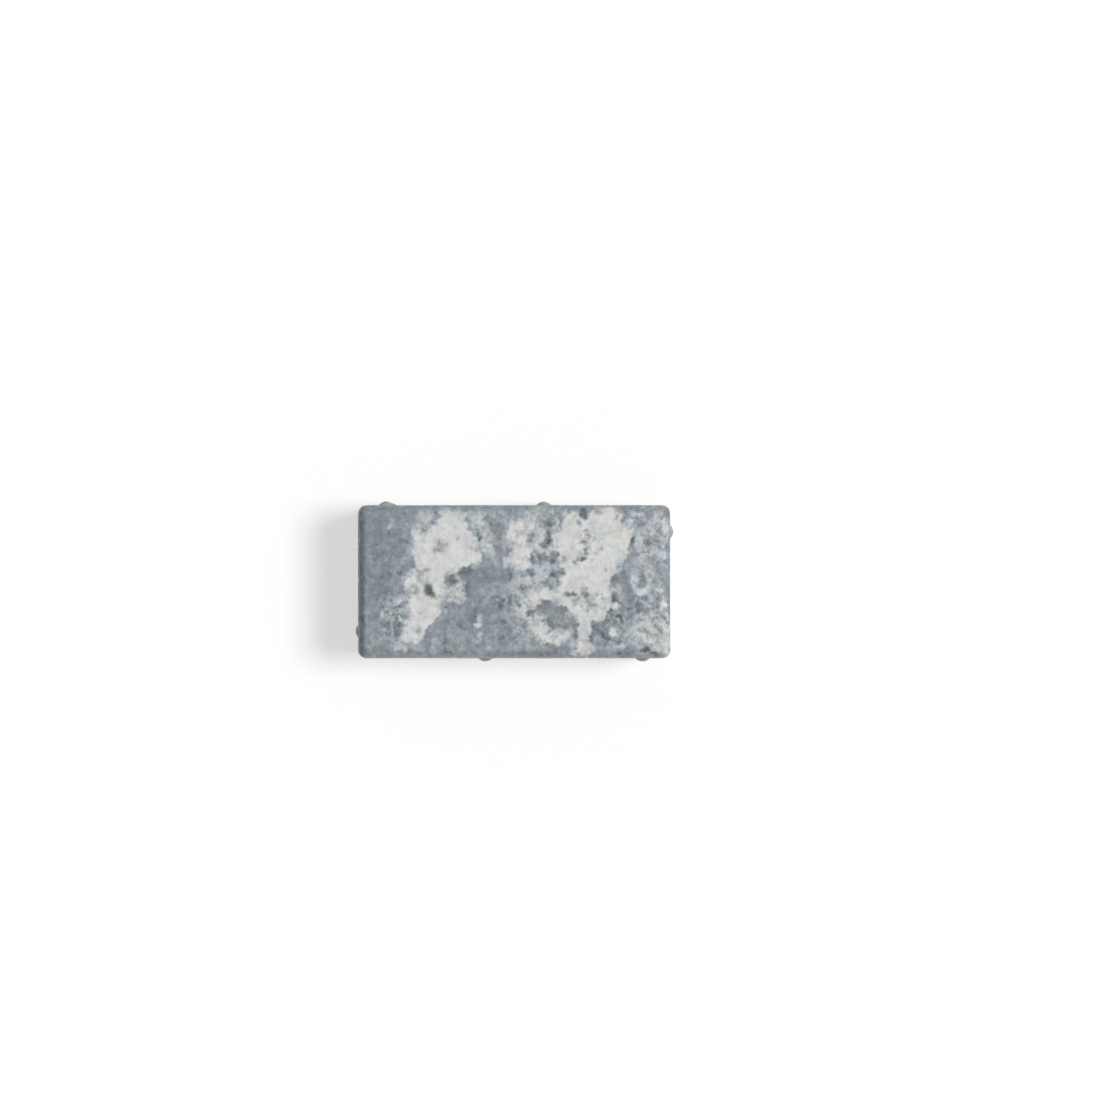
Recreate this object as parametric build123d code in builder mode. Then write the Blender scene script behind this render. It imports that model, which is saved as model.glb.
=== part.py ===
from build123d import *

import os
from math import atan2, degrees

# A concrete paving stone for a 200 x 100 mm laying grid, 60 mm thick.
# It is pressed as one piece in a straight-sided mould and pushed out downwards.
# So its sides are upright, its spacer lugs run down to the underside, and only
# its top edge is bevelled, by the stamp that closes the mould from above.
# X runs along the stone, Y across it, and Z up from the middle of its underside.

# The laying grid. A long side spans two of its squares and a short side one.
grid = 100.0
squares_long = 2
squares_short = 1

# The body, without its lugs.
body_length = 197.5
body_width = 97.0
body_height = 60.0
corner_radius = 5.5

# The bevel round the walking surface. Outside it runs a narrow level land,
# pressed by the flat rim that keeps the stamp from wearing to a knife edge.
land_width = 0.8
bevel_run = 3.7
bevel_drop = 3.2
upper_edge_radius = 3.0
arris_radius = 0.5

# The spacer lugs are upright half-round ribs with domed tops, like the
# ball-nosed cutter that mills their grooves into the mould.
lug_depth = 2.5
lug_width = 9.6
lug_top = 51.0
lug_offset = 31.5
lug_root_radius = 0.8

# Each rib is a slice of a cylinder whose axis lies inside the body.
lug_radius = (lug_width**2 / 4 + lug_depth**2) / (2 * lug_depth)
lug_axis_inset = lug_radius - lug_depth
lug_shoulder = lug_top - lug_width / 2
bevel_foot = body_height - bevel_drop


def wall_plane(outward, distance):
    """The plane of one side. Its x axis runs along the side, to the right seen from outside."""
    along = Vector(-outward[1], outward[0], 0)
    normal = Vector(*outward, 0)
    return Plane(origin=normal * distance, x_dir=along, z_dir=normal)


def lug_axes():
    """The plan position of each lug's axis.

    Every grid square that a side spans has one lug, the same distance to the
    right of the square's middle. Neighbours' lugs then never meet face to face,
    however the stones are turned on the grid.
    """
    walls = [
        ((0, -1), body_width / 2, squares_long),
        ((1, 0), body_length / 2, squares_short),
        ((0, 1), body_width / 2, squares_long),
        ((-1, 0), body_length / 2, squares_short),
    ]
    axes = []
    for outward, distance, squares in walls:
        wall = wall_plane(outward, distance)
        for square in range(squares):
            middle = (square - (squares - 1) / 2) * grid
            axis = wall.from_local_coords((middle + lug_offset, 0, -lug_axis_inset))
            axes.append((axis.X, axis.Y))
    return axes


def is_lug_root(edge):
    """True for the upright lines and dome arcs where a lug meets its wall."""
    if edge.geom_type == GeomType.CIRCLE:
        return abs(edge.radius - lug_width / 2) < 0.01
    upright = abs(edge.tangent_at(0.5).Z) > 0.999
    return upright and abs(edge.length - lug_shoulder) < 0.01


with BuildPart() as paving_stone:
    # The upright body, with its rounded corners.
    with BuildSketch(Plane.XY) as outline:
        RectangleRounded(body_length, body_width, corner_radius)
    extrude(amount=bevel_foot)

    # The bevelled top starts inside the land and draws in as it rises.
    with BuildSketch(Plane.XY.offset(bevel_foot)) as bevel_outline:
        offset(outline.sketch, amount=-land_width, kind=Kind.ARC)
    extrude(amount=bevel_drop, taper=degrees(atan2(bevel_run, bevel_drop)))

    # The walking surface rolls over into the bevel, and the outer arris is eased.
    underside, land, walking_surface = paving_stone.faces().filter_by(Axis.Z).sort_by(Axis.Z)
    fillet(land.outer_wire().edges(), radius=arris_radius)
    fillet(walking_surface.edges(), radius=upper_edge_radius)

    # The lugs: a round rib up to the shoulder, then the dome that ends it.
    with BuildSketch(Plane.XY) as lug_sections:
        with Locations(*lug_axes()):
            Circle(lug_radius)
    extrude(amount=lug_shoulder)
    with Locations(*[(x, y, lug_shoulder) for x, y in lug_axes()]):
        Sphere(lug_radius)
    lug_roots = paving_stone.edges().filter_by(is_lug_root)
    fillet(lug_roots, radius=lug_root_radius)

paving_stone.part.label = "paving_stone"

os.makedirs("parts", exist_ok=True)
export_step(paving_stone.part, "parts/paving_stone.step")

print("overall size", paving_stone.part.bounding_box().size)
print("volume in litres", round(paving_stone.part.volume / 1e6, 4))
print("lug root edges", len(lug_roots))
for x, y in lug_axes():
    print("lug axis at", round(x, 2), round(y, 2))
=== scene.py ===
import math

import bpy
import numpy as np
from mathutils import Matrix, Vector, noise as fractal


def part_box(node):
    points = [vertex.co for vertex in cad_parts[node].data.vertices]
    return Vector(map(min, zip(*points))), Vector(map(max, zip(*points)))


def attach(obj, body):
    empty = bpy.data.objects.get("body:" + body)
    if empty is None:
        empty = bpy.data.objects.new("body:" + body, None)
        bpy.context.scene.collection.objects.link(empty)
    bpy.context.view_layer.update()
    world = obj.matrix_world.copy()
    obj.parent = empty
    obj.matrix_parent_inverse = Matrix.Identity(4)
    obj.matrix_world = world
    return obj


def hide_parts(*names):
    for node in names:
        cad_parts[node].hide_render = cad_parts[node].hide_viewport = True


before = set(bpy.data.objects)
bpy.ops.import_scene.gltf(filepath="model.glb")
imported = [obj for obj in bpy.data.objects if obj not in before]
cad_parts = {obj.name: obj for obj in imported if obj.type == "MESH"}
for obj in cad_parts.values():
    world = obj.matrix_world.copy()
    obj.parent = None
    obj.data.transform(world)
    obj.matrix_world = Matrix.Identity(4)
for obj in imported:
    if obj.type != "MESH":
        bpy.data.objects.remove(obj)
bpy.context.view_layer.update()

mm = 0.001
nodeName = "paving_stone"
boxLow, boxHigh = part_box(nodeName)
seed = 7
noiseGap = 3.7  # between the layers of noise, each of which is another pattern
pitGap = 5.3  # the same between the layers of pits

# Lengths are millimetres, except in the studio.
# X runs along the stone, Y across it, Z up from the middle of its underside.

stone = {
    "lugDepth": 2.5,  # how far a spacer lug stands out of its wall
    "lugWidth": 9.6,
    "lugTop": 51.0,
    "lugOffset": 31.5,  # to the right of a grid square's middle, seen from outside
    "lugRoot": 1.6,  # how softly a lug runs into its wall
    "grid": 100.0,  # the laying grid
    "cornerRadius": 5.5,
    "landWidth": 0.8,  # the level strip outside the bevel
    "bevelRun": 3.7,
    "bevelDrop": 3.2,
    "upperRadius": 3.0,  # where the walking surface rolls over into the bevel
    "arrisRadius": 0.5,
    "footRadius": 0.5,  # the lower edge
    "wearReach": 2.0,  # how far from an edge the stone is worn
}

meshing = {
    "pitch": 0.625,  # between columns of faces
    "longColumns": 300,  # along a long side
    "shortColumns": 140,
    "cornerColumns": 30,  # at each end of a side, stretched round the corner
    "footRows": 3,
    "wallRows": 37,
    "arrisRows": 4,
    "bevelRows": 3,
    "rollRows": 5,
    "smallestCorner": 0.6,  # radius of the innermost ring's corners
    "underInset": 2.0,  # from the walls to the grid of the underside
}

length = (boxHigh.x - boxLow.x) / mm - 2 * stone["lugDepth"]
width = (boxHigh.y - boxLow.y) / mm - 2 * stone["lugDepth"]
height = (boxHigh.z - boxLow.z) / mm


# The blank: rings of faces up the walls and over the bevel, then a grid on top and below.


def lugRise(along, level, centres):
    # how far the wall stands out, at a place along it and a height
    radius = (stone["lugWidth"] ** 2 / 4 + stone["lugDepth"] ** 2) / (2 * stone["lugDepth"])
    inset = radius - stone["lugDepth"]
    shoulder = stone["lugTop"] - stone["lugWidth"] / 2
    aboveShoulder = max(level - shoulder, 0)
    rise = np.zeros_like(along)
    for centre in centres:
        off = np.minimum((along - centre) ** 2 + aboveShoulder**2, radius**2)
        dome = np.sqrt(radius**2 - off) - inset
        overlap = np.maximum(stone["lugRoot"] - np.abs(dome), 0) / stone["lugRoot"]
        rise = np.maximum(rise, np.maximum(dome, 0) + overlap**2 * stone["lugRoot"] / 4)
    return np.minimum(rise, stone["lugDepth"])


def sideOfRing(count, halfAlong, halfAway, squares, inset, level):
    # one side, as distances along it and out from the centre
    corner = max(stone["cornerRadius"] - inset, meshing["smallestCorner"])
    straight = halfAlong - inset - corner
    steady = count / 2 - meshing["cornerColumns"]
    step = np.arange(count) - count / 2
    reach = np.maximum(np.abs(step) - steady, 0) / meshing["cornerColumns"]
    bend = straight + corner * math.pi / 4 - steady * meshing["pitch"]
    along = np.sign(step) * (np.minimum(np.abs(step), steady) * meshing["pitch"] + reach * bend)
    turn = np.maximum(np.abs(along) - straight, 0) / corner
    alongSide = np.sign(step) * (np.minimum(np.abs(along), straight) + corner * np.sin(turn))
    centres = [(n - (squares - 1) / 2) * stone["grid"] + stone["lugOffset"] for n in range(squares)]
    away = halfAway - inset - corner * (1 - np.cos(turn)) + lugRise(along, level, centres)
    return alongSide, away


def ring(inset, level):
    # the four sides in turn, anticlockwise from above, starting at the corner at low X and low Y
    long, short = meshing["longColumns"], meshing["shortColumns"]
    parts = []
    for outward, count, halfAlong, halfAway, squares in (
        ((0, -1), long, length / 2, width / 2, 2),
        ((1, 0), short, width / 2, length / 2, 1),
        ((0, 1), long, length / 2, width / 2, 2),
        ((-1, 0), short, width / 2, length / 2, 1),
    ):
        along, away = sideOfRing(count, halfAlong, halfAway, squares, inset, level)
        x = outward[0] * away - outward[1] * along
        y = outward[1] * away + outward[0] * along
        parts.append(np.column_stack([x, y, np.full(count, level)]))
    return np.concatenate(parts)


def arc(inset, level, radius, start, end, steps):
    # the profile's round stretches, with angles up from the outward level
    turns = np.radians(np.linspace(start, end, steps))
    return [(inset - radius * math.cos(t), level + radius * math.sin(t)) for t in turns]


def profile():
    # inset and height of every ring, from the underside up to the walking surface
    foot = stone["footRadius"]
    arris = stone["arrisRadius"]
    bevelFoot = height - stone["bevelDrop"]
    slope = math.degrees(math.atan2(stone["bevelDrop"], stone["bevelRun"]))
    roll = stone["upperRadius"]
    rollInset = stone["landWidth"] + stone["bevelRun"] + roll * math.tan(math.radians(slope / 2))
    rows = arc(foot, foot, foot, -90, 0, meshing["footRows"])
    rows += [(0, z) for z in np.linspace(foot, bevelFoot - arris, meshing["wallRows"] + 1)[1:-1]]
    rows += arc(arris, bevelFoot - arris, arris, 0, 90, meshing["arrisRows"])
    rows.append((stone["landWidth"], bevelFoot))
    rollOver = arc(rollInset, height - roll, roll, 90 - slope, 90, meshing["rollRows"])
    low, high = np.array(rows[-1]), np.array(rollOver[0])
    shares = np.linspace(0, 1, meshing["bevelRows"] + 2)[1:-1]
    rows += [tuple(low + (high - low) * share) for share in shares]
    return rows + rollOver


def patch(outline, across, up):
    # fills a closed outline of 2 * (across + up) points with a grid, and gives its inner points
    low = outline[: across + 1]
    right = outline[across : across + up + 1]
    high = outline[across + up : 2 * across + up + 1][::-1]
    left = np.concatenate([outline[2 * across + up :], outline[:1]])[::-1]
    u = (np.arange(1, across) / across)[:, None, None]
    v = (np.arange(1, up) / up)[None, :, None]
    ruled = (1 - v) * low[1:-1, None] + v * high[1:-1, None]
    ruled = ruled + (1 - u) * left[None, 1:-1] + u * right[None, 1:-1]
    corners = (1 - u) * (1 - v) * low[0] + u * (1 - v) * low[-1] + (1 - u) * v * high[0] + u * v * high[-1]
    return (ruled - corners).reshape(-1, 3)


def patchFaces(outline, first, across, up, flip):
    # the grid's faces, from the outline's point numbers and the first inner point's number
    def point(i, j):
        if j == 0:
            return outline[i]
        if i == across:
            return outline[across + j]
        if j == up:
            return outline[2 * across + up - i]
        if i == 0:
            return outline[2 * (across + up) - j]
        return first + (i - 1) * (up - 1) + j - 1

    faces = []
    for i in range(across):
        for j in range(up):
            face = (point(i, j), point(i + 1, j), point(i + 1, j + 1), point(i, j + 1))
            faces.append(face[::-1] if flip else face)
    return faces


def stoneBlank():
    long, short = meshing["longColumns"], meshing["shortColumns"]
    around = 2 * (long + short)
    rows = [ring(inset, level) for inset, level in profile()]
    points = np.concatenate(rows)
    faces = []
    for row in range(len(rows) - 1):
        for column in range(around):
            following = (column + 1) % around
            low, high = row * around, (row + 1) * around
            faces.append((low + column, low + following, high + following, high + column))

    topOutline = [(len(rows) - 1) * around + column for column in range(around)]
    faces += patchFaces(topOutline, len(points), long, short, False)
    points = np.concatenate([points, patch(rows[-1], long, short)])

    # The underside has half as many columns, joined on by a ring of five-sided faces.
    underRing = ring(meshing["underInset"], 0.0)[::2]
    underRing[:, 2] = 0
    firstUnder = len(points)
    half = around // 2
    points = np.concatenate([points, underRing])
    for column in range(half):
        following = (column + 1) % half
        outer = [2 * column, 2 * column + 1, (2 * column + 2) % around]
        faces.append((firstUnder + column, firstUnder + following, outer[2], outer[1], outer[0]))
    underOutline = [firstUnder + column for column in range(half)]
    faces += patchFaces(underOutline, len(points), long // 2, short // 2, True)
    points = np.concatenate([points, patch(underRing, long // 2, short // 2)])

    mesh = bpy.data.meshes.new("stoneBlank")
    mesh.from_pydata((points * mm).tolist(), [], faces)
    mesh.update()
    return mesh, points


# The pattern of the coloured face, given as marks. A mark is x, y, half length, half width, tilt
# in degrees, and the brightness that it shows, from 0 to 255. Later marks go over earlier ones.

groundShade = 145
tearSeed = 11
torn = (  # tears in the borders: their size, how far they reach, and how far in the cream clumps
    (6.0, 1.2, 1.6),
    (2.6, 1.9, 2.2),
)
markBorder = (0.4, 0.3)  # half its width in mm, and what each mm of the mark's half width adds
clumps = {
    "shades": (207, 207, 204, 199, 190, 185),
    "soft": 4.0,  # width of a clump's border
    "sharp": 1.4,  # the same where it's sharp
    "haloShade": 180,  # of the pale fringe round it
    "haloReach": 0.7,  # of the fringe, against the border's width
    "crumbleReach": 4.0,  # how far from the border it's broken up
}

fieldsAndBevelShade = [
    (-85, 10, 16, 40, 0, 138), (-82, -28, 12, 14, 0, 149), (-75, 3, 4, 14, 0, 146), (-25, 2, 22, 9, 0, 140),
    (-25, -32, 30, 12, 0, 148), (-12, 30, 12, 18, 0, 158), (-22, 32, 7, 12, 0, 170),
    (14, 22, 17, 25, 0, 183), (-8, 17, 6, 6, 0, 149), (-10, -6.5, 9, 5.5, 0, 157), (0, -2, 4, 5, 0, 180),
    (8, -9, 9, 11, 0, 172), (23, 33, 4.5, 11, -5, 165), (25, 12, 8, 10, 0, 170), (12, 14, 5, 6, 0, 172),
    (7, -28, 8, 10, 0, 162), (22, -33, 13, 6, 0, 176), (14, -40, 14, 3, 0, 160), (26, -21, 10, 9, 0, 143),
    (24, -45.5, 22, 3.5, 0, 142), (86, 28, 14, 20, 0, 172), (86, -12, 12, 14, 0, 160),
    (72, -14, 9, 12, 0, 143), (78, 8, 9, 9, 0, 156), (92, 3, 7, 8, 0, 156), (82, 10, 7, 10, 0, 176),
    (72, -30, 12, 8, 0, 156), (60, -38, 14, 6, 0, 154), (88, -34, 13, 13, 0, 178), (84, -22, 8, 4, 0, 160),
    # the last three are painted shade: they darken the bevels along the right, the bottom and, most, the
    # left
    (97.5, 5, 2.8, 60, 0, 143), (-20, -47.5, 80, 2, 0, 150), (-97.2, 0, 2.6, 60, 0, 127),
]
paleMarks = [
    (-57, 38.5, 6, 7, 0, 175), (-53, 41, 1.2, 3.2, -25, 193), (-40, 45, 7, 2.6, 0, 176),
    (-26.5, 42, 4, 4, 0, 171), (-29, 42, 4, 3.5, 0, 187), (-62, 31, 3, 2.2, 0, 198),
    (-24, 10.5, 2.6, 1.6, 0, 182), (-77, -16, 3, 2.2, 0, 188), (22, 19, 1.8, 1.6, 0, 186),
    (21, 8, 1.6, 2.4, 0, 190), (26.6, -0.8, 1.4, 1.4, 0, 190), (36.5, -37.5, 1.8, 4, 0, 182),
    (-72, -23.5, 1.6, 3, 0, 182), (-69.5, -42.5, 3.2, 1.8, 0, 182), (-51, -43.5, 2.4, 3, 0, 172),
    (66, -9, 4, 3, 0, 166), (76.5, 30, 2.2, 3, 0, 180), (95.5, 34, 2.6, 4, 0, 184),
    (96, -21.5, 2, 3, 0, 184), (-21.5, 38.5, 2.6, 6.5, 8, 195), (-67, 22, 3, 9, 0, 158),
    (-70, -14, 7, 5, 0, 163), (-73, -11.5, 2.8, 1.1, -8, 194), (-79, -17, 3, 3.5, 0, 160),
    (-72.5, -40.5, 3.6, 3, 0, 184), (-62, -40, 5, 3, 0, 165), (-87.5, -37.5, 4, 2.5, 0, 160),
    (-85.3, -37, 1.6, 1.2, 0, 182), (-91, -41.5, 2, 2, 0, 162), (-76.5, -36.8, 0.9, 1.2, 0, 176),
    (-78, 35, 1.6, 2.2, 0, 182), (-75, 37, 4, 2.5, 0, 158), (-63, 37, 3, 3, 0, 161),
    (-69.5, 39.2, 1.8, 0.8, -20, 170), (-45, -9.5, 3.5, 3, 0, 190), (-38, -9, 4, 3, 0, 167),
    (-34, -4, 2, 4, 0, 170), (-33, -9.7, 1.8, 2.8, 0, 195), (-43.8, -18, 1.5, 1.2, 0, 180),
    (-25.5, -15, 1.4, 1.4, 0, 165), (-15.5, 20, 6.8, 2.6, -55, 193), (-16, 26.5, 3.5, 2, 0, 178),
    (-25.5, 36, 3, 5, 20, 180), (-6.5, 22.3, 1.6, 1.4, 0, 172), (-21, 5, 1.4, 1.4, 0, 158),
    (-13, 42.5, 1.6, 1.9, 0, 187), (-5.8, -12.5, 0.9, 5, -6, 166), (-4.4, -22, 1, 4.5, 14, 168),
    (-0.5, -18, 1.4, 5, 0, 162), (-16.5, -41.8, 2.2, 1.3, 0, 169), (-49.5, -37.5, 2.2, 2.4, 0, 164),
    (-34.5, -33.5, 3.2, 3, 0, 160), (-42, -28.5, 1.2, 1.6, 0, 166), (13, 40.5, 2.8, 4, 0, 187),
    (2.5, 38, 4, 3, 0, 170), (24.3, 44.3, 1.9, 1, -35, 187), (32.5, 42.5, 3, 2.5, 0, 184),
    (38, 41, 2.5, 3, 0, 182), (57, 45.5, 7, 2.5, 0, 182), (66, 42, 4, 3, 0, 172),
    (17.2, 27, 1.5, 2.6, 0, 191), (27, 22, 4, 3, 0, 176), (18.5, 6.3, 2.4, 4.6, 0, 197),
    (17, 12, 2, 1.5, 0, 172), (6.5, 5.7, 1.1, 1.3, 0, 184), (29, 2, 1, 1.2, 0, 186),
    (26.3, 1, 1, 1, 0, 182), (4.5, -8.5, 1.4, 1.2, 0, 178), (9, -13, 3, 4, 0, 171),
    (5, -17.3, 3.2, 2.5, 0, 201), (20, -18, 2.4, 1.8, 0, 156), (14, -26.5, 4.5, 4.8, 0, 180),
    (14.3, -26, 1.8, 1.8, 0, 150), (14.5, -36.5, 3.5, 2.8, 0, 166), (16.7, -36.5, 1.2, 1, 0, 188),
    (33.3, -33, 1.5, 3, -15, 193), (7.6, -39, 1, 3.5, 20, 172), (3.7, -36.6, 1.7, 1.1, 0, 177),
    (7, -31.3, 1.4, 1.4, 0, 168), (7, -24, 2.5, 2.5, 0, 164), (36.5, -27, 4, 3.5, 0, 146),
    (37, -44.5, 2.5, 1.8, 0, 166), (49, -42.5, 2.5, 2.5, 0, 166), (52, -36, 3, 2.5, 0, 171),
    (66, -5, 2.3, 2.6, 0, 178), (66.5, -40, 2.9, 1.9, 0, 197), (62, -38.5, 3, 2, 0, 158),
    (55, -22.5, 2.8, 2.6, 0, 197), (75.5, -29, 4.5, 1.6, 38, 190), (74, -33, 2.8, 1.8, 0, 180),
    (75, -22.5, 1.2, 0.9, 0, 178), (81.5, -22, 4, 1.3, -20, 176), (87, -11.2, 3.6, 1.1, 42, 189),
    (90.3, -21.5, 3.4, 1, -38, 191), (86, -15.5, 1.6, 1.4, 0, 182), (80.3, -0.8, 2.2, 2.2, 0, 160),
    (78.3, 43, 3.8, 1.4, 12, 193), (75.5, 41.3, 1, 1, 0, 180), (85.4, 38, 1.5, 2.2, 0, 187),
    (87, 34, 1.7, 3.2, 0, 187), (91.7, 37.8, 3.6, 1.1, -25, 195), (79, 26, 2.1, 6, 0, 181),
    (93.5, 28, 4, 6, 0, 168), (93.6, 16.3, 2.7, 2.1, 0, 189), (85, 11.5, 4.6, 3, 0, 174),
    (94, 12, 1, 3, 30, 172), (65.2, 7, 2.1, 1.4, 0, 193), (91.7, -38, 1.1, 1.7, 0, 203),
    (96, -39, 2.6, 8, 0, 186), (84, -35, 6, 2.6, 0, 194), (78, -34.5, 1.6, 2.4, -25, 195),
    (85, -27.5, 4, 2.4, 0, 188),
]
creamClumps = [  # outlines of the large ones
    [
        (-46.5, 42.0), (-42.0, 45.0), (-35.5, 44.0), (-32.0, 41.0), (-31.0, 37.0), (-28.5, 33.0),
        (-26.0, 29.5), (-24.0, 25.5), (-22.5, 20.5), (-20.5, 17.5), (-20.0, 14.0), (-23.0, 11.5),
        (-28.0, 11.5), (-33.0, 9.0), (-35.0, 7.0), (-38.0, 4.5), (-42.0, 1.5), (-45.0, -2.0),
        (-46.0, -6.0), (-46.0, -13.0), (-46.5, -18.0), (-48.5, -23.0), (-53.5, -27.0), (-56.0, -32.0),
        (-58.5, -37.0), (-62.0, -38.5), (-68.0, -38.0), (-71.5, -35.0), (-69.5, -31.0), (-67.5, -26.0),
        (-66.5, -21.0), (-66.0, -17.0), (-66.5, -11.0), (-68.0, -5.0), (-68.5, 0.5), (-63.5, 5.0),
        (-61.5, 10.0), (-62.5, 15.0), (-63.0, 21.0), (-62.0, 28.5), (-56.0, 31.0), (-51.0, 34.0),
        (-47.5, 38.0),
    ],
    [
        (32.0, 41.5), (36.0, 43.5), (40.0, 41.5), (42.0, 39.0), (46.0, 39.5), (48.0, 43.5), (53.0, 46.5),
        (62.0, 46.5), (66.0, 42.0), (69.0, 39.0), (73.5, 33.0), (73.5, 27.0), (72.0, 22.0), (71.0, 16.5),
        (68.0, 12.5), (64.0, 10.0), (63.5, 6.0), (60.5, 3.0), (60.5, -1.0), (62.5, -6.0), (60.5, -10.5),
        (62.0, -14.0), (66.0, -15.0), (66.0, -17.5), (59.0, -18.5), (57.0, -22.0), (53.0, -24.0),
        (49.5, -24.0), (48.0, -29.0), (47.5, -36.0), (49.0, -41.0), (47.0, -45.5), (39.5, -45.0),
        (39.0, -41.0), (41.0, -37.0), (41.0, -30.0), (40.0, -24.0), (38.0, -20.0), (34.5, -17.0),
        (32.5, -15.0), (26.5, -12.5), (19.0, -12.0), (14.0, -15.0), (8.0, -20.0), (3.0, -21.0),
        (2.5, -17.0), (8.5, -12.5), (10.0, -7.5), (12.5, -3.5), (19.0, -4.5), (25.0, -5.5), (28.0, -3.5),
        (29.5, -1.0), (31.5, 6.0), (29.5, 12.0), (28.5, 17.0), (26.5, 19.5), (24.5, 24.0), (23.5, 29.5),
        (28.0, 33.0),
    ],
    [
        (-2.0, 35.5), (1.0, 38.0), (7.0, 38.0), (12.0, 42.5), (15.5, 40.0), (13.5, 33.0), (10.0, 31.0),
        (9.5, 26.5), (12.0, 24.5), (16.5, 24.5), (16.0, 20.5), (11.5, 18.0), (10.5, 11.0), (8.0, 7.0),
        (2.0, 9.0), (-5.0, 10.5), (-5.5, 14.5), (-1.0, 18.0), (-0.5, 25.0), (-3.5, 30.0),
    ],
    [
        (10.0, -23.5), (15.0, -22.0), (19.5, -22.0), (20.5, -27.0), (23.0, -31.0), (28.0, -33.5),
        (33.0, -32.5), (34.0, -35.5), (28.0, -39.0), (20.0, -37.5), (15.0, -35.0), (11.5, -31.5),
        (14.0, -29.0), (13.0, -26.5),
    ],
    [
        (81.0, -26.5), (87.0, -25.5), (92.0, -27.5), (98.0, -25.5), (99.0, -38.0), (97.0, -45.0),
        (91.0, -43.0), (88.0, -38.0), (81.0, -37.5), (75.5, -33.0), (79.0, -30.5), (86.0, -31.5),
        (84.0, -29.0),
    ],
    [
        (-46.0, -3.0), (-38.0, -4.0), (-37.0, 2.0), (-34.0, 2.0), (-33.0, -5.0), (-33.0, -11.0),
        (-35.0, -12.0), (-38.5, -10.0), (-46.0, -12.5),
    ],
]
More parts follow.
